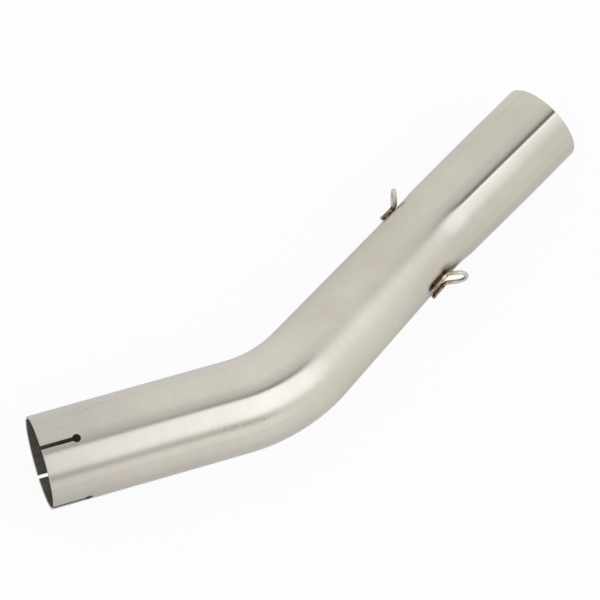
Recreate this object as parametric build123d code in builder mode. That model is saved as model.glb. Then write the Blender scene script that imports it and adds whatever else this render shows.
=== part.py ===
from build123d import *
from math import cos, radians, sin, sqrt
import os

# Exhaust mid pipe of a motorbike: one stainless tube, bent once and drawn down to a waist, that
# slips over the header at its slotted end and into the silencer at its plain end.
# Two spring hooks, bent from wire, are welded on opposite sides at the waist.
# Millimetres. The origin is the centre of the slotted inlet, +X runs down the inlet leg with the
# gas, and the bend turns towards +Y in the plane Z = 0.

# Tube
wall = 1.2
inlet_od = 53.4
inlet_leg = 115.0
bend_radius = 92.0
bend_angle = 31.0
mid_leg = 104.0
waist_od = 48.5
back_radius = 150.0
back_angle = 2.2
flare_length = 8.0
flare_od = 49.9
swell_length = 49.5
outlet_od = 50.8
spigot_length = 40.0
rim_chamfer = 0.3

# Keyhole slots that let the inlet close round the header
slot_length = 20.3
slot_width = 2.3
relief_hole = 4.8

# Spring hooks: the gauge is the distance between the centres of a hook's two legs, and a hook's
# turn is how far round the tube it is welded from the plane of the bend, towards +Z
wire = 2.4
hook_gauge = 11.6
hook_leg = 12.0
hook_reach = 11.6
hook_lean = 44.0
elbow_radius = 3.0
outer_hook_at = -12.0
inner_hook_at = 2.0
outer_hook_turn = 7.5
inner_hook_turn = -3.0

# Weld beads along the legs of the hooks
weld_gap = 0.25
bead_radius = 1.9
bead_inset = 1.6

# Centre line of the tube
with BuildLine() as centre_line:
    inlet_run = Line((0, 0), (inlet_leg, 0))
    bend = JernArc(inlet_run @ 1, inlet_run % 1, bend_radius, bend_angle)
    mid_run = Line(bend @ 1, bend @ 1 + (bend % 1) * mid_leg)
    back_bend = JernArc(mid_run @ 1, mid_run % 1, back_radius, -back_angle)
    flare_run = Line(back_bend @ 1, back_bend @ 1 + (back_bend % 1) * flare_length)
    swell_run = Line(flare_run @ 1, flare_run @ 1 + (back_bend % 1) * swell_length)
    spigot_run = Line(swell_run @ 1, swell_run @ 1 + (back_bend % 1) * spigot_length)


def across(run, share):
    """Plane square to the centre line, at a share of the length of one of its runs."""
    return Plane(origin=run @ share, x_dir=(0, 0, 1), z_dir=run % share)


def tube_form(inset):
    """The solid outside of the tube, or its bore when the inset is the wall."""
    inlet_radius = inlet_od / 2 - inset
    waist_radius = waist_od / 2 - inset
    flare_radius = flare_od / 2 - inset
    outlet_radius = outlet_od / 2 - inset
    with BuildPart() as form:
        with BuildSketch(across(inlet_run, 0)):
            Circle(inlet_radius)
        extrude(amount=inlet_leg)
        with BuildSketch(across(bend, 0)):
            Circle(inlet_radius)
        sweep(path=bend)
        with BuildSketch(across(mid_run, 0)):
            Circle(inlet_radius)
        with BuildSketch(across(mid_run, 1)):
            Circle(waist_radius)
        loft(ruled=True)
        with BuildSketch(across(back_bend, 0)):
            Circle(waist_radius)
        sweep(path=back_bend)
        with BuildSketch(across(flare_run, 0)):
            Circle(waist_radius)
        with BuildSketch(across(flare_run, 1)):
            Circle(flare_radius)
        loft(ruled=True)
        with BuildSketch(across(swell_run, 0)):
            Circle(flare_radius)
        with BuildSketch(across(swell_run, 1)):
            Circle(outlet_radius)
        loft(ruled=True)
        with BuildSketch(across(spigot_run, 0)):
            Circle(outlet_radius)
        extrude(amount=spigot_length)
    return form.part


tube_outside = tube_form(0)
tube_bore = tube_form(wall)

# Tube with its chamfered rims and four keyhole slots
with BuildPart() as mid_pipe:
    add(tube_outside)
    add(tube_bore, mode=Mode.SUBTRACT)
    inlet_rims = mid_pipe.edges().filter_by(GeomType.CIRCLE).sort_by(Axis.X)[:2]
    chamfer(inlet_rims.sort_by(SortBy.RADIUS)[0], rim_chamfer)
    outlet_rims = mid_pipe.edges().filter_by(GeomType.CIRCLE).sort_by_distance(spigot_run @ 1)[:2]
    chamfer(outlet_rims.sort_by(SortBy.RADIUS)[-1], rim_chamfer)
    with BuildSketch(Plane.XY, Plane.XZ):
        with Locations((slot_length / 2, 0)):
            Rectangle(slot_length, slot_width)
        with Locations((slot_length, 0)):
            Circle(relief_hole / 2)
    extrude(amount=inlet_od, both=True, mode=Mode.SUBTRACT)

# Seats of the hooks on the tapered leg. The outer hook is on the outside of the bend, the inner
# one on its inside, and their elbows lie before or past the waist.
taper = (inlet_od - waist_od) / 2 / mid_leg
leg_turn = hook_gauge / 2


def seat_radius(station):
    """Distance from the tube's axis to the axis of a hook's wire, at a distance past the waist."""
    return waist_od / 2 - station * taper + weld_gap + wire / 2


def hook_seat(station, side, turn):
    """Plane at the elbows of a hook: X runs down the wall and Y stands out from it."""
    along = mid_run % 1
    level = Vector(-along.Y, along.X) * side
    outward = level * cos(radians(turn)) + Vector(0, 0, 1) * sin(radians(turn))
    stand_off = sqrt(seat_radius(station) ** 2 - leg_turn ** 2)
    origin = mid_run @ 1 + along * station + outward * stand_off
    return Plane(origin=origin, x_dir=along - outward * taper, z_dir=along.cross(outward))


# One hook in its own seat: two parallel legs, an elbow on each, and a loop that leans outwards
lean_x = cos(radians(hook_lean))
lean_y = sin(radians(hook_lean))
arm = hook_reach - leg_turn
with BuildPart() as hook_form:
    with BuildLine() as wire_line:
        upper = FilletPolyline(
            (-hook_leg, 0, leg_turn),
            (0, 0, leg_turn),
            (arm * lean_x, arm * lean_y, leg_turn),
            radius=elbow_radius,
        )
        lower = mirror(upper, about=Plane.XY)
        tip = (hook_reach * lean_x, hook_reach * lean_y, 0)
        ThreePointArc(upper @ 1, tip, (arm * lean_x, arm * lean_y, -leg_turn))
    with BuildSketch(Plane(origin=upper @ 0, z_dir=upper % 0)):
        Circle(wire / 2)
    sweep(path=wire_line.wire())


def bead_form(station):
    """Two beads along the legs of a hook, centred where the legs meet the tube wall, less the wire."""
    drop = (weld_gap + wire / 2) / seat_radius(station)
    stand_off = sqrt(seat_radius(station) ** 2 - leg_turn ** 2)
    bead_y = -drop * stand_off
    bead_z = (1 - drop) * leg_turn
    first = -hook_leg + bead_inset
    last = -bead_inset
    with BuildPart() as beads:
        for z in (bead_z, -bead_z):
            with BuildSketch(Plane(origin=(first, bead_y, z), z_dir=(1, 0, 0))):
                Circle(bead_radius)
            extrude(amount=last - first)
        add(hook_form.part, mode=Mode.SUBTRACT)
    return beads.part


# Hook and weld beads on the outside of the bend
outer_seat = hook_seat(outer_hook_at, -1, outer_hook_turn)
outer_beads = bead_form(outer_hook_at)
with BuildPart() as outer_spring_hook:
    with Locations(outer_seat):
        add(hook_form.part)
with BuildPart() as outer_hook_welds:
    with Locations(outer_seat):
        add(outer_beads)
    add(tube_outside, mode=Mode.SUBTRACT)

# Hook and weld beads on the inside of the bend
inner_seat = hook_seat(inner_hook_at, 1, inner_hook_turn)
inner_beads = bead_form(inner_hook_at)
with BuildPart() as inner_spring_hook:
    with Locations(inner_seat):
        add(hook_form.part)
with BuildPart() as inner_hook_welds:
    with Locations(inner_seat):
        add(inner_beads)
    add(tube_outside, mode=Mode.SUBTRACT)

mid_pipe.part.label = "mid_pipe"
outer_spring_hook.part.label = "outer_spring_hook"
inner_spring_hook.part.label = "inner_spring_hook"
outer_hook_welds.part.label = "outer_hook_welds"
inner_hook_welds.part.label = "inner_hook_welds"

os.makedirs("parts", exist_ok=True)
export_step(mid_pipe.part, "parts/mid_pipe.step")
export_step(outer_spring_hook.part, "parts/outer_spring_hook.step")
export_step(inner_spring_hook.part, "parts/inner_spring_hook.step")
export_step(outer_hook_welds.part, "parts/outer_hook_welds.step")
export_step(inner_hook_welds.part, "parts/inner_hook_welds.step")
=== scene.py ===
from math import atan2, ceil, cos, hypot, pi, radians, sin, sqrt, tan

import bmesh
import bpy
from mathutils import Matrix, Vector
from mathutils.kdtree import KDTree


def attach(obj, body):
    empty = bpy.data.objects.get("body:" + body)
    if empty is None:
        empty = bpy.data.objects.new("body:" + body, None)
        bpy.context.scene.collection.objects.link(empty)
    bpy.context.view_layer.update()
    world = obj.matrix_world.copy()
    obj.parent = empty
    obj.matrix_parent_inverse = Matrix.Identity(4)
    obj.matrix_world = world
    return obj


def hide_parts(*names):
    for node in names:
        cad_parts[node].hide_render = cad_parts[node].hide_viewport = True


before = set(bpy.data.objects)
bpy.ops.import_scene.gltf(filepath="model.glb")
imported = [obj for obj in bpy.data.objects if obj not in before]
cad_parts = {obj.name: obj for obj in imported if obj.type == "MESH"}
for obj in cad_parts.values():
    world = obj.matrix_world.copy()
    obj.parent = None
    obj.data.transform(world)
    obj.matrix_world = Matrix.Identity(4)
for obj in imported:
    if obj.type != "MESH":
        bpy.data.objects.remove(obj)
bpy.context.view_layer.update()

# Tube
# One stainless tube: a straight slotted inlet, one mandrel bend, a long draw down to the waist,
# a slight back bend, then a flare and a swell up to the plain outlet. It is rubbed to a satin
# finish outside and left dark and rough inside. All sizes are in metres.
wall = 0.0012
inlet_radius = 0.0267
waist_radius = 0.02425
flare_radius = 0.02495
outlet_radius = 0.0254
inlet_leg = 0.115
bend_radius = 0.092
bend_angle = radians(31.0)
mid_leg = 0.104
back_radius = 0.150
back_angle = radians(2.2)
flare_length = 0.008
swell_length = 0.0495
spigot_length = 0.040
rim_break = 0.0004
slot_length = 0.0203
slot_width = 0.0023
relief_radius = 0.0024
tube_runs = (  # length, turn, outside radius at the start and at the end
    (inlet_leg, 0.0, inlet_radius, inlet_radius),
    (bend_radius * bend_angle, bend_angle, inlet_radius, inlet_radius),
    (mid_leg, 0.0, inlet_radius, waist_radius),
    (back_radius * back_angle, -back_angle, waist_radius, waist_radius),
    (flare_length, 0.0, waist_radius, flare_radius),
    (swell_length, 0.0, flare_radius, outlet_radius),
    (spigot_length, 0.0, outlet_radius, outlet_radius),
)
tube_length = sum(run[0] for run in tube_runs)
waist_station = sum(run[0] for run in tube_runs[:3])


def tube_at(station):
    """Point on the centre line, heading and outside radius at a distance from the slotted rim."""
    x = y = heading = 0.0
    left = station
    for length, turn, start, end in tube_runs:
        share = min(max(left / length, 0.0), 1.0)
        if turn:
            x += length / turn * (sin(heading + turn * share) - sin(heading))
            y -= length / turn * (cos(heading + turn * share) - cos(heading))
        else:
            x += cos(heading) * length * share
            y += sin(heading) * length * share
        heading += turn * share
        radius = start + (end - start) * share
        if left <= length:
            break
        left -= length
    return Vector((x, y, 0.0)), heading, radius


def number_step(tree, operation, *sources, clamp=False):
    """One calculation in a shader or geometry tree, on sockets or on plain numbers."""
    step = tree.nodes.new("ShaderNodeMath")
    step.operation = operation
    step.use_clamp = clamp
    for socket, source in zip(step.inputs, sources):
        if isinstance(source, (int, float)):
            socket.default_value = source
        else:
            tree.links.new(source, socket)
    return step.outputs[0]


def product(tree, *sources):
    """All the sources multiplied, from the first on."""
    total = sources[0]
    for source in sources[1:]:
        total = number_step(tree, "MULTIPLY", total, source)
    return total


def vector_step(tree, operation, *sources):
    """One vector calculation in a shader tree, on sockets or on plain vectors."""
    step = tree.nodes.new("ShaderNodeVectorMath")
    step.operation = operation
    for socket, source in zip(step.inputs, sources):
        if isinstance(source, tuple):
            socket.default_value = source
        else:
            tree.links.new(source, socket)
    return step.outputs["Value" if operation in ("DOT_PRODUCT", "DISTANCE") else "Vector"]


def soft_step(tree, source, low, high):
    """Rises smoothly from 0 at low to 1 at high, or falls where high is the smaller."""
    step = tree.nodes.new("ShaderNodeMapRange")
    step.interpolation_type = "SMOOTHSTEP"
    tree.links.new(source, step.inputs["Value"])
    step.inputs["From Min"].default_value = min(low, high)
    step.inputs["From Max"].default_value = max(low, high)
    step.inputs["To Min"].default_value = 0.0 if low < high else 1.0
    step.inputs["To Max"].default_value = 1.0 if low < high else 0.0
    return step.outputs["Result"]


def noise(tree, place, scale, detail=2.0, roughness=0.5):
    """Soft noise at a place, from 0 to 1."""
    step = tree.nodes.new("ShaderNodeTexNoise")
    step.inputs["Scale"].default_value = scale
    step.inputs["Detail"].default_value = detail
    step.inputs["Roughness"].default_value = roughness
    tree.links.new(place, step.inputs["Vector"])
    return step.outputs["Fac"]


def ramp(tree, source, stops):
    """Colour ramp through (place, colour) stops."""
    step = tree.nodes.new("ShaderNodeValToRGB")
    marks = step.color_ramp.elements
    marks[0].position, marks[0].color = stops[0][0], (*stops[0][1], 1.0)
    marks[1].position, marks[1].color = stops[-1][0], (*stops[-1][1], 1.0)
    for place, colour in stops[1:-1]:
        marks.new(place).color = (*colour, 1.0)
    tree.links.new(source, step.inputs["Fac"])
    return step.outputs["Color"]


def grey_ramp(tree, source, *stops):
    """Ramp of greys through (place, level) stops."""
    return ramp(tree, source, [(place, (level,) * 3) for place, level in stops])


def mix_colour(tree, amount, first, second, kind="MIX"):
    """Mix of two colours, each a socket or a plain colour, by a socket or a plain share."""
    step = tree.nodes.new("ShaderNodeMix")
    step.data_type = "RGBA"
    step.blend_type = kind
    for socket, source in ((step.inputs[0], amount), (step.inputs[6], first), (step.inputs[7], second)):
        if isinstance(source, (int, float)):
            socket.default_value = source
        elif isinstance(source, tuple):
            socket.default_value = (*source, 1.0)
        else:
            tree.links.new(source, socket)
    return step.outputs[2]


def open_material(name):
    """A new material, its tree, its shader and its object coordinates."""
    material = bpy.data.materials.new(name)
    material.use_nodes = True
    tree = material.node_tree
    shader = tree.nodes["Principled BSDF"]
    place = tree.nodes.new("ShaderNodeTexCoord").outputs["Object"]
    return material, tree, shader, place


def skin_place(tree):
    """The tube's own coordinates: metres along its wall and round it."""
    step = tree.nodes.new("ShaderNodeUVMap")
    step.uv_map = "Skin"
    return step.outputs["UV"]


def add_bump(tree, shader, height, strength, distance):
    """Bump from a height, on the shader's normal."""
    bump = tree.nodes.new("ShaderNodeBump")
    bump.inputs["Strength"].default_value = strength
    bump.inputs["Distance"].default_value = distance
    tree.links.new(height, bump.inputs["Height"])
    tree.links.new(bump.outputs["Normal"], shader.inputs["Normal"])


# Shader group: grain rubbed one way, as noise drawn out along the other
grain_group = bpy.data.node_groups.new("Rubbed grain", "ShaderNodeTree")
grain_group.interface.new_socket("Surface", in_out="INPUT", socket_type="NodeSocketVector")
for name in ("Scale Along", "Scale Round", "Detail"):
    grain_group.interface.new_socket(name, in_out="INPUT", socket_type="NodeSocketFloat")
grain_group.interface.new_socket("Grain", in_out="OUTPUT", socket_type="NodeSocketFloat")
ins = grain_group.nodes.new("NodeGroupInput")
outs = grain_group.nodes.new("NodeGroupOutput")
scales = grain_group.nodes.new("ShaderNodeCombineXYZ")
grain_group.links.new(ins.outputs["Scale Along"], scales.inputs["X"])
grain_group.links.new(ins.outputs["Scale Round"], scales.inputs["Y"])
grain_group.links.new(ins.outputs["Scale Round"], scales.inputs["Z"])
drawn_out = vector_step(grain_group, "MULTIPLY", ins.outputs["Surface"], scales.outputs[0])
off_lattice = (0.37, 0.19, 0.41)
drawn_out = vector_step(grain_group, "ADD", drawn_out, off_lattice)
streaks = grain_group.nodes.new("ShaderNodeTexNoise")
streaks.inputs["Scale"].default_value = 1.0
streaks.inputs["Roughness"].default_value = 0.6
grain_group.links.new(drawn_out, streaks.inputs["Vector"])
grain_group.links.new(ins.outputs["Detail"], streaks.inputs["Detail"])
grain_group.links.new(streaks.outputs["Fac"], outs.inputs["Grain"])


def grain(tree, surface, along, round_, detail=4.0):
    """The rubbed grain group, placed in a material."""
    step = tree.nodes.new("ShaderNodeGroup")
    step.node_tree = grain_group
    tree.links.new(surface, step.inputs["Surface"])
    step.inputs["Scale Along"].default_value = along
    step.inputs["Scale Round"].default_value = round_
    step.inputs["Detail"].default_value = detail
    return step.outputs["Grain"]


# Shader group: distance from a straight line, wavered by noise
line_group = bpy.data.node_groups.new("Distance from a line", "ShaderNodeTree")
for name in ("Place", "Start", "End"):
    line_group.interface.new_socket(name, in_out="INPUT", socket_type="NodeSocketVector")
line_group.interface.new_socket("Waver", in_out="INPUT", socket_type="NodeSocketFloat")
line_group.interface.new_socket("Distance", in_out="OUTPUT", socket_type="NodeSocketFloat")
ins = line_group.nodes.new("NodeGroupInput")
outs = line_group.nodes.new("NodeGroupOutput")
from_start = vector_step(line_group, "SUBTRACT", ins.outputs["Place"], ins.outputs["Start"])
whole = vector_step(line_group, "SUBTRACT", ins.outputs["End"], ins.outputs["Start"])
reach = vector_step(line_group, "DOT_PRODUCT", from_start, whole)
square = vector_step(line_group, "DOT_PRODUCT", whole, whole)
share = number_step(line_group, "DIVIDE", reach, square, clamp=True)
foot = line_group.nodes.new("ShaderNodeVectorMath")
foot.operation = "SCALE"
line_group.links.new(whole, foot.inputs[0])
line_group.links.new(share, foot.inputs["Scale"])
gap = vector_step(line_group, "DISTANCE", from_start, foot.outputs[0])
rippling = noise(line_group, ins.outputs["Place"], scale=420.0, detail=3.0)
swing = number_step(line_group, "SUBTRACT", rippling, 0.5)
shift = number_step(line_group, "MULTIPLY", swing, ins.outputs["Waver"])
line_group.links.new(number_step(line_group, "ADD", gap, shift), outs.inputs["Distance"])


def line_distance(tree, place, start, end, waver):
    """The distance group, placed in a material for one line."""
    step = tree.nodes.new("ShaderNodeGroup")
    step.node_tree = line_group
    tree.links.new(place, step.inputs["Place"])
    step.inputs["Start"].default_value = start
    step.inputs["End"].default_value = end
    step.inputs["Waver"].default_value = waver
    return step.outputs["Distance"]


# Where the spring hooks sit, because the tube's skin carries the heat tint of their welds
wire_radius = 0.0012
leg_turn = 0.0058
hook_leg = 0.012
hook_reach = 0.0116
hook_lean = radians(44.0)
elbow_radius = 0.003
stand_clear = 0.00025
weld_stop = 0.001
hook_places = (("outer", -0.012, -1, radians(7.5)), ("inner", 0.002, 1, radians(-3.0)))
hook_seats = {}
leg_lines = {}
waist, heading, _radius = tube_at(waist_station)
slope = (inlet_radius - waist_radius) / mid_leg
down = Vector((cos(heading), sin(heading), 0.0))
for name, station, side, turn in hook_places:
    out = Vector((-sin(heading), cos(heading), 0.0)) * side * cos(turn) + Vector((0.0, 0.0, sin(turn)))
    ring = waist_radius - station * slope + stand_clear + wire_radius
    foot = sqrt(ring ** 2 - leg_turn ** 2)
    along = (down - out * slope).normalized()
    across = down.cross(out)
    turned = Matrix((along, across.cross(along), across)).transposed().to_4x4()
    seat = Matrix.Translation(waist + down * station + out * foot) @ turned
    drop = (stand_clear + wire_radius) / ring
    hook_seats[name] = seat
    leg_lines[name] = [
        tuple(tuple(seat @ Vector((x, -drop * foot, z))) for x in (-hook_leg, -weld_stop))
        for z in ((1 - drop) * leg_turn, (drop - 1) * leg_turn)
    ]


def weld_distance(tree, place, waver):
    """Distance from the nearest of the hooks' weld lines."""
    lines = [line for hook_lines in leg_lines.values() for line in hook_lines]
    nearest = line_distance(tree, place, *lines[0], waver)
    for line in lines[1:]:
        nearest = number_step(tree, "MINIMUM", nearest, line_distance(tree, place, *line, waver))
    return nearest


# Satin skin: warm stainless grey, grain rubbed in round the tube, faint blotches, and a narrow heat
# tint beside each weld, near black along the weld line. It is smoother where the ends were drawn over a
# die.
tube_skin, tree, shader, place = open_material("Satin stainless tube")
rosy_steel = (0.600, 0.540, 0.475)
blotch_steel = (0.575, 0.505, 0.445)
dull_steel = (0.44, 0.43, 0.39)
mark_grey = (0.20, 0.19, 0.17)
dark_patch_brown = (0.31, 0.265, 0.17)
dark_patch_black = (0.045, 0.035, 0.028)
surface = skin_place(tree)
split = tree.nodes.new("ShaderNodeSeparateXYZ")
tree.links.new(surface, split.inputs[0])
share_along = number_step(tree, "MULTIPLY", split.outputs["X"], 1.0 / tube_length)
fine = grain(tree, surface, along=4200.0, round_=60.0)
coarse = grain(tree, surface, along=260.0, round_=14.0, detail=3.0)
cloud = noise(tree, place, scale=26.0, detail=4.0, roughness=0.55)
patch = soft_step(tree, noise(tree, place, scale=34.0, detail=3.0, roughness=0.6), 0.52, 0.72)
warm_steel = ramp(tree, cloud, ((0.3, (0.562, 0.543, 0.477)), (0.7, (0.626, 0.596, 0.518))))
# Base colour darker and cooler towards the slotted inlet, lightest on the mid leg, and a little darker
# from the waist to the outlet
tone_along_tube = ramp(tree, share_along, (
    (0.0, (0.84, 0.85, 0.88)), (0.06, (0.87, 0.87, 0.89)), (0.12, (0.94, 0.93, 0.95)),
    (0.28, (1.0, 0.99, 1.0)), (0.55, (1.07, 1.06, 1.06)), (0.62, (1.00, 0.99, 0.98)),
    (0.68, (0.94, 0.93, 0.92)), (0.76, (0.95, 0.94, 0.95)), (1.0, (0.93, 0.92, 0.91))))
warm_steel = mix_colour(tree, 1.0, warm_steel, tone_along_tube, "MULTIPLY")
rosy = mix_colour(tree, product(tree, patch, 0.38), warm_steel, rosy_steel)
for blotch, width in (((0.2108, 0.0533, 0.0234), 0.0085), ((0.1764, 0.0320, 0.0246), 0.0105)):
    ragged = number_step(tree, "MULTIPLY_ADD", noise(tree, place, scale=160.0, detail=3.0), 0.010, -0.005)
    near_blotch = number_step(tree, "ADD", vector_step(tree, "DISTANCE", place, blotch), ragged)
    share = product(tree, soft_step(tree, near_blotch, width, 0.001), 0.50)
    rosy = mix_colour(tree, share, rosy, blotch_steel)
share = product(tree, soft_step(tree, coarse, 0.35, 0.75), 0.07)
streaky = mix_colour(tree, share, rosy, dull_steel)

# Fine scratches by the slotted rim, and dark specks before the bend, each along a short line
scratches = soft_step(tree, grain(tree, surface, along=75.0, round_=560.0, detail=5.0), 0.50, 0.72)
specks = soft_step(tree, noise(tree, place, scale=1300.0, detail=2.0), 0.60, 0.68)
for mark, start, end, reach, depth in (
        (scratches, (0.0160, 0.0138, 0.0229), (0.0360, 0.0138, 0.0229), 0.013, 0.24),
        (specks, (0.0950, -0.0157, 0.0216), (0.1234, -0.0175, 0.0198), 0.0045, 0.60),
        (specks, (0.0800, 0.0080, 0.0255), (0.0900, 0.0080, 0.0255), 0.008, 0.20)):
    zone = soft_step(tree, line_distance(tree, place, start, end, waver=0.0), reach, reach / 3)
    streaky = mix_colour(tree, product(tree, mark, zone, depth), streaky, mark_grey)

# Heat tint along the welds, and a dark brown patch with a black core on the tube, from the outer hook's
# upper weld to under its loop
tint_waver = 0.0026
tint_width = 0.008
nearest = weld_distance(tree, place, tint_waver)
tint_share = number_step(tree, "MULTIPLY", nearest, 1.0 / tint_width, clamp=True)
tint = ramp(tree, tint_share, (
    (0.0, (0.040, 0.030, 0.022)), (0.24, (0.075, 0.052, 0.035)), (0.32, (0.21, 0.16, 0.11)),
    (0.42, (0.42, 0.38, 0.30)), (0.56, (0.51, 0.50, 0.47)), (0.8, (0.57, 0.55, 0.50))))
tinted = mix_colour(tree, soft_step(tree, tint_share, 0.85, 0.45), streaky, tint)
seat = hook_seats["outer"]
dark_patch_ends = [tuple(seat @ Vector(p)) for p in ((-0.001, -0.0015, -0.0062), (0.0098, -0.0010, -0.0006))]
from_dark_patch = line_distance(tree, place, *dark_patch_ends, tint_waver)
halo = product(tree, soft_step(tree, from_dark_patch, 0.0070, 0.0014), 0.80)
dark_patch_core = product(tree, soft_step(tree, from_dark_patch, 0.0026, 0.0006), 0.9)
dark_patched = mix_colour(tree, halo, tinted, dark_patch_brown)
dark_patched = mix_colour(tree, dark_patch_core, dark_patched, dark_patch_black)
tree.links.new(dark_patched, shader.inputs["Base Color"])
shader.inputs["Metallic"].default_value = 1.0

# Roughness: the polish along the tube, uneven from place to place, with a frost finer than a
# pixel that keeps its changes from showing as rings
polish = grey_ramp(
    tree, share_along, (0.0, 0.20), (0.20, 0.19), (0.36, 0.15), (0.405, 0.21), (0.45, 0.41), (0.52, 0.43),
    (0.67, 0.41), (0.735, 0.27), (0.785, 0.11), (1.0, 0.07))
uneven = number_step(tree, "MULTIPLY_ADD", coarse, 0.06, -0.03)
frost = noise(tree, place, scale=9000.0, detail=0.0)
uneven = number_step(tree, "ADD", uneven, number_step(tree, "MULTIPLY_ADD", frost, 0.24, -0.12))
dulled = number_step(tree, "MULTIPLY_ADD", soft_step(tree, nearest, 0.004, 0.001), 0.25, uneven)
tree.links.new(number_step(tree, "ADD", polish, dulled), shader.inputs["Roughness"])
add_bump(tree, shader, fine, strength=0.30, distance=0.000008)

# Bore: dark brown-grey scale with rough streaks along the tube
tube_bore, tree, shader, place = open_material("Dark tube bore")
streak = grain(tree, skin_place(tree), along=60.0, round_=420.0, detail=5.0)
fleck = noise(tree, place, scale=500.0, detail=4.0, roughness=0.7)
scale_mix = number_step(tree, "MULTIPLY_ADD", streak, 0.6, product(tree, fleck, 0.4))
bore_colour = ramp(tree, scale_mix, (
    (0.30, (0.085, 0.074, 0.062)), (0.55, (0.140, 0.125, 0.106)), (0.75, (0.240, 0.215, 0.185))))
tree.links.new(bore_colour, shader.inputs["Base Color"])
shader.inputs["Metallic"].default_value = 0.5
tree.links.new(number_step(tree, "MULTIPLY_ADD", fleck, 0.25, 0.45), shader.inputs["Roughness"])
add_bump(tree, shader, scale_mix, strength=0.5, distance=0.00008)

# Geometry tree: a round section carried along a line, as thick as the line's own radius
round_bar = bpy.data.node_groups.new("Round section along a line", "GeometryNodeTree")
round_bar.interface.new_socket("Line", in_out="INPUT", socket_type="NodeSocketGeometry")
for name, kind in (("Sides", "NodeSocketInt"), ("Closed Ends", "NodeSocketBool"),
                   ("Finish", "NodeSocketMaterial")):
    round_bar.interface.new_socket(name, in_out="INPUT", socket_type=kind)
round_bar.interface.new_socket("Mesh", in_out="OUTPUT", socket_type="NodeSocketGeometry")
ins = round_bar.nodes.new("NodeGroupInput")
outs = round_bar.nodes.new("NodeGroupOutput")
section = round_bar.nodes.new("GeometryNodeCurvePrimitiveCircle")
section.inputs["Radius"].default_value = 1.0
carried = round_bar.nodes.new("GeometryNodeCurveToMesh")
thickness = round_bar.nodes.new("GeometryNodeInputRadius")
real = round_bar.nodes.new("GeometryNodeRealizeInstances")
finish = round_bar.nodes.new("GeometryNodeSetMaterial")
join = round_bar.links.new
join(ins.outputs["Sides"], section.inputs["Resolution"])
join(ins.outputs["Line"], carried.inputs["Curve"])
join(section.outputs["Curve"], carried.inputs["Profile Curve"])
join(thickness.outputs[0], carried.inputs["Scale"])
join(ins.outputs["Closed Ends"], carried.inputs["Fill Caps"])
join(carried.outputs["Mesh"], real.inputs["Geometry"])
join(real.outputs["Geometry"], finish.inputs["Geometry"])
join(ins.outputs["Finish"], finish.inputs["Material"])
join(finish.outputs["Geometry"], outs.inputs["Mesh"])


def line_object(name, points):
    """A curve object of one straight-run spline through (point, radius) pairs."""
    curve = bpy.data.curves.new(name, "CURVE")
    curve.dimensions = "3D"
    spline = curve.splines.new("POLY")
    spline.points.add(len(points) - 1)
    for mark, (point, radius) in zip(spline.points, points):
        mark.co = (*point, 1.0)
        mark.radius = radius
    line = bpy.data.objects.new(name, curve)
    bpy.context.scene.collection.objects.link(line)
    return line


def run_tree(source, tree, values):
    """Runs a geometry tree on an object with its inputs set by name, and returns a plain mesh."""
    modifier = source.modifiers.new(tree.name, "NODES")
    modifier.node_group = tree
    for socket in tree.interface.items_tree:
        if socket.in_out == "INPUT" and socket.name in values:
            modifier[socket.identifier] = values[socket.name]
    bpy.context.view_layer.update()
    ready = source.evaluated_get(bpy.context.evaluated_depsgraph_get())
    mesh = bpy.data.meshes.new_from_object(ready)
    bpy.data.objects.remove(source)
    return mesh


def add_piece(name, mesh):
    """A linked object for a finished mesh."""
    piece = bpy.data.objects.new(name, mesh)
    bpy.context.scene.collection.objects.link(piece)
    return piece


def face_outwards(mesh):
    """Turns the faces of a closed mesh outwards."""
    work = bmesh.new()
    work.from_mesh(mesh)
    bmesh.ops.remove_doubles(work, verts=work.verts, dist=1e-7)
    bmesh.ops.recalc_face_normals(work, faces=work.faces)
    work.to_mesh(mesh)
    work.free()


# The tube's rings are close together round the bends and wider apart on the straight runs
bend_spacing = 0.0015
straight_spacing = 0.004
tube_sides = 128
stations = [0.0]
for length, turn, _start, _end in tube_runs:
    steps = ceil(length / (bend_spacing if turn else straight_spacing))
    base = stations[-1]
    stations += [base + length * (i + 1) / steps for i in range(steps)]
centre_line = line_object("centre_line", [(tube_at(s)[0], tube_at(s)[2]) for s in stations])
shell = run_tree(centre_line, round_bar, {"Sides": tube_sides, "Closed Ends": False, "Finish": tube_skin})
tube = add_piece("tube", shell)
thick = tube.modifiers.new("Wall", "SOLIDIFY")
thick.thickness = wall
thick.offset = -1.0
thick.use_even_offset = True
broken = tube.modifiers.new("Rims", "BEVEL")
broken.width = rim_break
broken.segments = 2
broken.limit_method = "ANGLE"
broken.angle_limit = radians(60.0)

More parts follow.
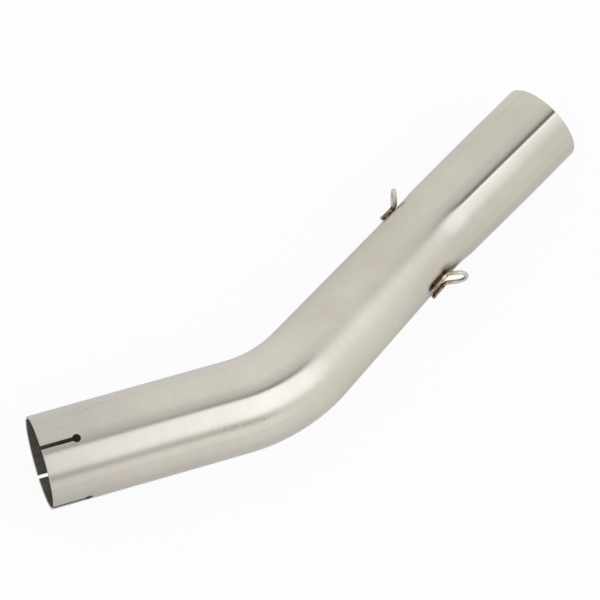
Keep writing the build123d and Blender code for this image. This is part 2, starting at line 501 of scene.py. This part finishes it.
# Keyhole cutter: a slot that ends in a relief hole, pushed through both walls
cut_lead = 0.004
cut_reach = 0.04
hole_steps = 32
half_gap = slot_width / 2
mouth = atan2(half_gap, sqrt(relief_radius ** 2 - half_gap ** 2))
outline = [(-cut_lead, half_gap), (-cut_lead, -half_gap)]
for i in range(hole_steps + 1):
    angle = -pi + mouth + (2 * pi - 2 * mouth) * i / hole_steps
    outline.append((slot_length + relief_radius * cos(angle), relief_radius * sin(angle)))
cutters = []
for turn in (0.0, pi / 2):
    work = bmesh.new()
    low = [work.verts.new((x, y, -cut_reach)) for x, y in outline]
    high = [work.verts.new((x, y, cut_reach)) for x, y in outline]
    work.faces.new(low[::-1])
    work.faces.new(high)
    for i in range(len(outline)):
        j = (i + 1) % len(outline)
        work.faces.new((low[i], low[j], high[j], high[i]))
    bmesh.ops.recalc_face_normals(work, faces=work.faces)
    bmesh.ops.rotate(work, verts=work.verts, cent=(0, 0, 0), matrix=Matrix.Rotation(turn, 3, "X"))
    mesh = bpy.data.meshes.new("keyhole")
    work.to_mesh(mesh)
    work.free()
    cutters.append(add_piece("keyhole", mesh))
    cut = tube.modifiers.new("Slots", "BOOLEAN")
    cut.operation = "DIFFERENCE"
    cut.solver = "EXACT"
    cut.object = cutters[-1]
bpy.context.view_layer.update()
slotted = bpy.data.meshes.new_from_object(tube.evaluated_get(bpy.context.evaluated_depsgraph_get()))
bpy.data.objects.remove(tube)
for cutter in cutters:
    bpy.data.objects.remove(cutter)
tube = add_piece("tube", slotted)

# Skin coordinates (metres along and round the wall), round normals that soften the flare's
# creases, and the bore's finish
samples = 1500
soften = 0.007
guide = KDTree(samples + 1)
guide_places = [tube_at(tube_length * i / samples) for i in range(samples + 1)]
for i, (centre, _heading, _radius) in enumerate(guide_places):
    guide.insert(centre, i)
guide.balance()
spots = []
for vertex in slotted.vertices:
    flat = Vector((vertex.co.x, vertex.co.y, 0.0))
    _co, i, _gap = guide.find(flat)
    centre, heading, _radius = guide_places[i]
    down = Vector((cos(heading), sin(heading), 0.0))
    inside = Vector((-sin(heading), cos(heading), 0.0))
    ahead = (flat - centre).dot(down)
    side = (flat - centre).dot(inside)
    angle = atan2(vertex.co.z, side)
    station = min(max(tube_length * i / samples + ahead, 0.0), tube_length)
    radius_past = tube_at(min(station + soften, tube_length))[2]
    radius_before = tube_at(max(station - soften, 0.0))[2]
    slope = (radius_past - radius_before) / (2 * soften)
    straight_out = inside * cos(angle) + Vector((0.0, 0.0, sin(angle)))
    skin_normal = (straight_out - down * slope).normalized()
    spots.append((station, angle, hypot(side, vertex.co.z) - tube_at(station)[2], skin_normal))
slotted.materials.clear()
for finish in (tube_skin, tube_bore):
    slotted.materials.append(finish)
skin_map = slotted.uv_layers.new(name="Skin")
loop_normals = [Vector((0.0, 0.0, 1.0))] * len(slotted.loops)
on_wall = 0.00008
rim_band = 0.0008
slot_zone = 0.03
for face in slotted.polygons:
    face.use_smooth = True
    corner_spots = [spots[i] for i in face.vertices]
    outside = all(abs(spot[2]) < on_wall for spot in corner_spots)
    bore_side = all(abs(spot[2] + wall) < on_wall for spot in corner_spots)
    start_angle = corner_spots[0][1]
    for loop, spot in zip(face.loop_indices, corner_spots):
        angle = spot[1] + 2 * pi * round((start_angle - spot[1]) / (2 * pi))
        skin_map.data[loop].uv = (spot[0], angle * inlet_radius)
        if outside:
            loop_normals[loop] = spot[3]
        elif bore_side:
            loop_normals[loop] = -spot[3]
        else:
            loop_normals[loop] = face.normal.copy()
    corner_stations = [spot[0] for spot in corner_spots]
    past_rim = max(corner_stations) > rim_band and min(corner_stations) < slot_zone
    slot_side = past_rim and not (outside or bore_side)
    face.material_index = 1 if bore_side or slot_side else 0
slotted.normals_split_custom_set(loop_normals)
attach(tube, "root")
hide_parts("mid_pipe")

# Spring hooks
# Two hooks of 2.4 mm stainless wire, each one length bent to two parallel legs and a loop that
# leans outwards. The legs lie along the tube; the heat of their welds has coloured the wire.
hook_wire, tree, shader, place = open_material("Heat-tinted hook wire")
heat_waver = 0.0016
heat_reach = 0.012
nearest = weld_distance(tree, place, heat_waver)
heat = number_step(tree, "MULTIPLY", nearest, 1.0 / heat_reach, clamp=True)
drawn_wire = noise(tree, place, scale=900.0, detail=3.0)
wire_colour = ramp(tree, heat, (
    (0.03, (0.030, 0.023, 0.016)), (0.10, (0.075, 0.055, 0.032)), (0.17, (0.26, 0.19, 0.10)),
    (0.24, (0.50, 0.40, 0.25)), (0.34, (0.42, 0.32, 0.19)), (0.50, (0.56, 0.49, 0.36)),
    (0.85, (0.60, 0.58, 0.52))))
spots_of_scale = soft_step(tree, noise(tree, place, scale=430.0, detail=3.0, roughness=0.6), 0.49, 0.60)
scaled = product(tree, spots_of_scale, soft_step(tree, nearest, 0.0040, 0.0024))
wire_colour = mix_colour(tree, scaled, wire_colour, (0.07, 0.050, 0.03))
for name, spot, colour, width in (
        ("outer", (-0.0030, 0.0002, -leg_turn - 0.0009), (0.76, 0.58, 0.45), 0.0022),
        ("outer", (-hook_leg, 0.0, -leg_turn), (0.62, 0.36, 0.21), 0.0016),
        ("outer", (-hook_leg, 0.0, leg_turn), (0.16, 0.13, 0.10), 0.0014),
        ("inner", (-hook_leg, 0.0, leg_turn), (0.62, 0.38, 0.24), 0.0014),
        ("inner", (-0.0006, -0.0006, leg_turn), (0.20, 0.20, 0.34), 0.0030),
        ("inner", (0.0022, 0.0020, leg_turn), (0.10, 0.07, 0.05), 0.0010)):
    from_spot = vector_step(tree, "DISTANCE", place, tuple(hook_seats[name] @ Vector(spot)))
    wire_colour = mix_colour(tree, soft_step(tree, from_spot, width, width / 2), wire_colour, colour)
tree.links.new(wire_colour, shader.inputs["Base Color"])
shader.inputs["Metallic"].default_value = 1.0
tree.links.new(number_step(tree, "MULTIPLY_ADD", drawn_wire, 0.14, 0.08), shader.inputs["Roughness"])
add_bump(tree, shader, drawn_wire, strength=0.3, distance=0.00005)

# Path of the wire: a leg, an elbow, an arm and half of the loop, then the same mirrored
leg_steps = 5
elbow_steps = 8
loop_steps = 12
wire_sides = 24
half_wire = []
corner_back = elbow_radius * tan(hook_lean / 2)
for i in range(leg_steps):
    x = -hook_leg + (hook_leg - corner_back) * i / leg_steps
    half_wire.append(Vector((x, 0.0, leg_turn)))
for i in range(elbow_steps + 1):
    angle = hook_lean * i / elbow_steps
    x = -corner_back + elbow_radius * sin(angle)
    half_wire.append(Vector((x, elbow_radius * (1 - cos(angle)), leg_turn)))
arm = hook_reach - leg_turn
arm_way = Vector((cos(hook_lean), sin(hook_lean), 0.0))
half_wire.append(arm_way * (corner_back + arm) / 2 + Vector((0, 0, leg_turn)))
for i in range(loop_steps + 1):
    angle = pi / 2 * i / loop_steps
    half_wire.append(arm_way * (arm + leg_turn * sin(angle)) + Vector((0, 0, leg_turn * cos(angle))))
wire_path = half_wire + [Vector((p.x, p.y, -p.z)) for p in half_wire[-2::-1]]
for name, *_place in hook_places:
    line = line_object(name, [(hook_seats[name] @ p, wire_radius) for p in wire_path])
    mesh = run_tree(line, round_bar, {"Sides": wire_sides, "Closed Ends": True, "Finish": hook_wire})
    face_outwards(mesh)
    for face in mesh.polygons:
        face.use_smooth = len(face.vertices) == 4
    hook = add_piece(name + "_hook", mesh)
    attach(hook, "root")
    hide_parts(name + "_spring_hook")

# Weld beads
# A short rippled bead fixes each leg of a hook to the tube wall: stainless filler, left as
# welded, with its bronze and brown heat tint and a few bright copper-pink spots.
weld_metal, tree, shader, place = open_material("Heat-tinted weld metal")
mottle = noise(tree, place, scale=480.0, detail=4.0, roughness=0.65)
bead_colour = ramp(tree, mottle, (
    (0.34, (0.025, 0.018, 0.013)), (0.50, (0.06, 0.042, 0.026)), (0.60, (0.20, 0.14, 0.08)),
    (0.68, (0.46, 0.30, 0.19)), (0.80, (0.12, 0.12, 0.14))))
tree.links.new(bead_colour, shader.inputs["Base Color"])
shader.inputs["Metallic"].default_value = 1.0
tree.links.new(number_step(tree, "MULTIPLY_ADD", mottle, 0.3, 0.22), shader.inputs["Roughness"])
add_bump(tree, shader, noise(tree, place, scale=1400.0, detail=3.0), strength=0.4, distance=0.0001)

# Geometry tree: a bead that swells in ripples along its line and rounds off at both ends
bead_tree = bpy.data.node_groups.new("Rippled weld bead", "GeometryNodeTree")
bead_tree.interface.new_socket("Line", in_out="INPUT", socket_type="NodeSocketGeometry")
for name, kind in (("Rings", "NodeSocketInt"), ("Sides", "NodeSocketInt"), ("Radius", "NodeSocketFloat"),
                   ("Ripples", "NodeSocketFloat"), ("Ripple Height", "NodeSocketFloat"),
                   ("Lumps", "NodeSocketFloat"), ("Finish", "NodeSocketMaterial")):
    bead_tree.interface.new_socket(name, in_out="INPUT", socket_type=kind)
bead_tree.interface.new_socket("Mesh", in_out="OUTPUT", socket_type="NodeSocketGeometry")
ins = bead_tree.nodes.new("NodeGroupInput")
outs = bead_tree.nodes.new("NodeGroupOutput")
rings = bead_tree.nodes.new("GeometryNodeResampleCurve")
share = bead_tree.nodes.new("GeometryNodeSplineParameter").outputs["Factor"]
section = bead_tree.nodes.new("GeometryNodeCurvePrimitiveCircle")
section.inputs["Radius"].default_value = 1.0
carried = bead_tree.nodes.new("GeometryNodeCurveToMesh")
carried.inputs["Fill Caps"].default_value = True
swollen = bead_tree.nodes.new("GeometryNodeSetCurveRadius")
thickness = bead_tree.nodes.new("GeometryNodeInputRadius")
lumps = bead_tree.nodes.new("ShaderNodeTexNoise")
lumps.inputs["Scale"].default_value = 600.0
moved = bead_tree.nodes.new("GeometryNodeSetPosition")
outward = bead_tree.nodes.new("GeometryNodeInputNormal")
push = bead_tree.nodes.new("ShaderNodeVectorMath")
push.operation = "SCALE"
real = bead_tree.nodes.new("GeometryNodeRealizeInstances")
finish = bead_tree.nodes.new("GeometryNodeSetMaterial")
from_middle = number_step(bead_tree, "ABSOLUTE", number_step(bead_tree, "MULTIPLY_ADD", share, 2.0, -1.0))
rounded = number_step(bead_tree, "POWER", from_middle, 6.0)
rounded = number_step(bead_tree, "SQRT", number_step(bead_tree, "SUBTRACT", 1.02, rounded))
wave = product(bead_tree, share, product(bead_tree, ins.outputs["Ripples"], 2 * pi))
wave = number_step(bead_tree, "SINE", wave)
wave = number_step(bead_tree, "MULTIPLY_ADD", wave, ins.outputs["Ripple Height"], 1.0)
bead_thickness = product(bead_tree, rounded, wave, ins.outputs["Radius"])
lump = number_step(bead_tree, "SUBTRACT", lumps.outputs["Fac"], 0.5)
lump = product(bead_tree, lump, ins.outputs["Lumps"])
join = bead_tree.links.new
join(ins.outputs["Line"], rings.inputs["Curve"])
join(ins.outputs["Rings"], rings.inputs["Count"])
join(rings.outputs["Curve"], swollen.inputs["Curve"])
join(bead_thickness, swollen.inputs["Radius"])
join(swollen.outputs["Curve"], carried.inputs["Curve"])
join(ins.outputs["Sides"], section.inputs["Resolution"])
join(section.outputs["Curve"], carried.inputs["Profile Curve"])
join(thickness.outputs[0], carried.inputs["Scale"])
join(carried.outputs["Mesh"], moved.inputs["Geometry"])
join(outward.outputs["Normal"], push.inputs[0])
join(lump, push.inputs["Scale"])
join(push.outputs[0], moved.inputs["Offset"])
join(moved.outputs["Geometry"], real.inputs["Geometry"])
join(real.outputs["Geometry"], finish.inputs["Geometry"])
join(ins.outputs["Finish"], finish.inputs["Material"])
join(finish.outputs["Geometry"], outs.inputs["Mesh"])
bead_start = 0.12
bead_end = 0.94
for name, *_place in hook_places:
    parts = []
    for start, end in leg_lines[name]:
        start, end = Vector(start), Vector(end)
        line = line_object(name, [(start.lerp(end, share), 1.0) for share in (bead_start, bead_end)])
        parts.append(run_tree(line, bead_tree, {
            "Rings": 64, "Sides": 20, "Radius": 0.0017, "Ripples": 8.0, "Ripple Height": 0.07,
            "Lumps": 0.0005, "Finish": weld_metal}))
    work = bmesh.new()
    for mesh in parts:
        work.from_mesh(mesh)
    joined = bpy.data.meshes.new(name + "_welds")
    work.to_mesh(joined)
    work.free()
    joined.materials.append(weld_metal)
    face_outwards(joined)
    joined.shade_smooth()
    beads = add_piece(name + "_welds", joined)
    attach(beads, "root")
    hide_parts(name + "_hook_welds")

# Studio
# A pale floor under a white light tent: an even pale dome, one long softbox on the near side,
# and the narrow dark gap between them that draws the dark line along the tube.
floor_mesh = bpy.data.meshes.new("floor")
floor_reach = 12.0
floor_clear = 0.00002
corners = [(x * floor_reach, y * floor_reach, 0.0) for x, y in ((-1, -1), (1, -1), (1, 1), (-1, 1))]
floor_mesh.from_pydata(corners, [], [(0, 1, 2, 3)])
floor_mesh.transform(Matrix.Translation((0.0, 0.0, -inlet_radius - floor_clear)))
floor = add_piece("floor", floor_mesh)
paper, tree, shader, place = open_material("Pale floor")
shader.inputs["Roughness"].default_value = 0.9
shader.inputs["Specular IOR Level"].default_value = 0.0
paper_colour = grey_ramp(tree, noise(tree, place, scale=3.0), (0.3, 0.79), (0.7, 0.81))
tree.links.new(paper_colour, shader.inputs["Base Color"])
white = tree.nodes.new("ShaderNodeEmission")
seen = tree.nodes.new("ShaderNodeLightPath")
mirrored = number_step(tree, "MAXIMUM", seen.outputs["Is Glossy Ray"], seen.outputs["Is Transmission Ray"])
# In metal, the floor's white glow is weaker near the pipe: a painted shade round the pipe in its
# reflections, deepest within 3.2 cm of its centre line and gone past 13 cm
mid_bend = 0.135
pipe_marks = [tuple(tube_at(station)[0]) for station in (0.0, mid_bend, tube_length)]
from_pipe = [line_distance(tree, place, *ends, waver=0.0) for ends in (pipe_marks[:2], pipe_marks[1:])]
open_floor = soft_step(tree, number_step(tree, "MINIMUM", *from_pipe), 0.032, 0.13)
mirrored = product(tree, mirrored, number_step(tree, "MULTIPLY_ADD", open_floor, 0.75, 0.12))
direct = product(tree, seen.outputs["Is Camera Ray"], 0.92)
lift = tree.nodes.new("ShaderNodeMixShader")
tree.links.new(number_step(tree, "MAXIMUM", direct, mirrored), lift.inputs["Fac"])
tree.links.new(shader.outputs["BSDF"], lift.inputs[1])
tree.links.new(white.outputs["Emission"], lift.inputs[2])
tree.links.new(lift.outputs["Shader"], tree.nodes["Material Output"].inputs["Surface"])
floor_mesh.materials.append(paper)

# Light tent, drawn on the direction that a ray leaves in: each patch of it is a product of soft
# steps over the direction's x, y and z
world = bpy.data.worlds.new("Light tent")
bpy.context.scene.world = world
world.use_nodes = True
tree = world.node_tree
background = tree.nodes["Background"]
towards = tree.nodes.new("ShaderNodeTexCoord").outputs["Generated"]
split = tree.nodes.new("ShaderNodeSeparateXYZ")
tree.links.new(towards, split.inputs[0])
tx, ty, tz = split.outputs["X"], split.outputs["Y"], split.outputs["Z"]


# Softbox with its brighter strip, and the dark gap that fades away from its upper edge
dome_light = 1.02
softbox_light = 0.59
slant = number_step(tree, "MULTIPLY_ADD", tx, -0.15, number_step(tree, "ADD", ty, 0.045))
far_edge = number_step(tree, "MULTIPLY_ADD", ty, 0.25, tx)
lowered = number_step(tree, "MULTIPLY_ADD", tx, 0.15, tz)
edge = soft_step(tree, slant, -0.016, -0.048)
edge_strip = product(tree, edge, soft_step(tree, slant, -0.15, -0.08), soft_step(tree, tx, 0.32, 0.42),
                     soft_step(tree, tx, 0.62, 0.5), soft_step(tree, tz, 0.46, 0.76), 0.20)
softbox = product(tree, edge, soft_step(tree, far_edge, 0.66, 0.44),
                  soft_step(tree, tx, 0.03, 0.165), soft_step(tree, lowered, 0.48, 0.78))
gap_depth = grey_ramp(tree, number_step(tree, "MULTIPLY_ADD", slant, 0.5, 0.5), *(
    (0.5 + across / 2, depth) for across, depth in (
        (-0.040, 0.0), (-0.014, 0.68), (0.05, 0.78), (0.10, 0.51), (0.15, 0.29), (0.26, 0.12),
        (0.36, 0.06), (0.50, 0.0))))
gap = product(tree, gap_depth, soft_step(tree, tx, 0.0, 0.24), soft_step(tree, tx, 0.85, 0.6),
              soft_step(tree, tz, 0.2, 0.45))

# Dark lower edge of the softbox, a glow low on the near side, and a shaded far corner
under_edge = product(tree, soft_step(tree, tz, 0.30, 0.42), soft_step(tree, tz, 0.64, 0.52),
                     soft_step(tree, ty, -0.4, -0.7), soft_step(tree, tx, 0.44, 0.24), 0.29)
near_low = product(tree, soft_step(tree, tz, 0.42, 0.25), soft_step(tree, tz, -0.3, 0.0),
                   soft_step(tree, ty, -0.7, -0.95), 0.09)
far_shade = product(tree, soft_step(tree, ty, 0.58, 0.28), soft_step(tree, ty, -0.02, 0.06),
                    soft_step(tree, tx, 0.30, 0.18), soft_step(tree, tz, 0.6, 0.8), 0.13)
trim = number_step(tree, "SUBTRACT", edge_strip, far_shade)
tone = number_step(tree, "ADD", number_step(tree, "ADD", near_low, dome_light), trim)
tone = number_step(tree, "MULTIPLY_ADD", softbox, softbox_light, tone)
open_gap = number_step(tree, "SUBTRACT", 1.0, gap)
open_edge = number_step(tree, "SUBTRACT", 1.0, under_edge)
tree.links.new(product(tree, tone, open_gap, open_edge), background.inputs["Strength"])
tent_colour = mix_colour(tree, softbox, (1.0, 1.0, 1.0), (0.99, 1.0, 1.05))
tree.links.new(tent_colour, background.inputs["Color"])

# The camera itself sees plain white
plain = tree.nodes.new("ShaderNodeBackground")
plain.inputs["Color"].default_value = (1.0, 1.0, 1.0, 1.0)
seen = tree.nodes.new("ShaderNodeLightPath")
swap = tree.nodes.new("ShaderNodeMixShader")
tree.links.new(seen.outputs["Is Camera Ray"], swap.inputs["Fac"])
tree.links.new(background.outputs[0], swap.inputs[1])
tree.links.new(plain.outputs[0], swap.inputs[2])
tree.links.new(swap.outputs["Shader"], tree.nodes["World Output"].inputs["Surface"])

# Camera at the photograph's angle: long lens, steeply above, turned so that the pipe rises
# from lower left to upper right. The lens and the place were fitted to the photograph.
focal_pixels = 2992.19
picture_pixels = 600
camera_place = Vector((-0.189896, -0.469400, 1.578599))
camera_aim = Vector((0.1700100, 0.0506384, 0.0))
camera_level = radians(-34.6862)
camera_roll = radians(17.2744)
forward = (camera_aim - camera_place).normalized()
level = Vector((cos(camera_level), sin(camera_level), 0.0))
above = level.cross(forward)
right = level * cos(camera_roll) + above * sin(camera_roll)
up = above * cos(camera_roll) - level * sin(camera_roll)
nudge_up = 0.00017
nudge_left = 0.00045
camera_place += up * nudge_up - right * nudge_left
lens = bpy.data.cameras.new("camera")
lens.sensor_width = 36.0
lens.lens = focal_pixels / picture_pixels * lens.sensor_width
lens.clip_end = 60.0
camera = bpy.data.objects.new("camera", lens)
bpy.context.scene.collection.objects.link(camera)
turned = Matrix((right, up, -forward)).transposed().to_4x4()
camera.matrix_world = Matrix.Translation(camera_place) @ turned
bpy.context.scene.camera = camera
bpy.context.scene.view_settings.view_transform = "Standard"
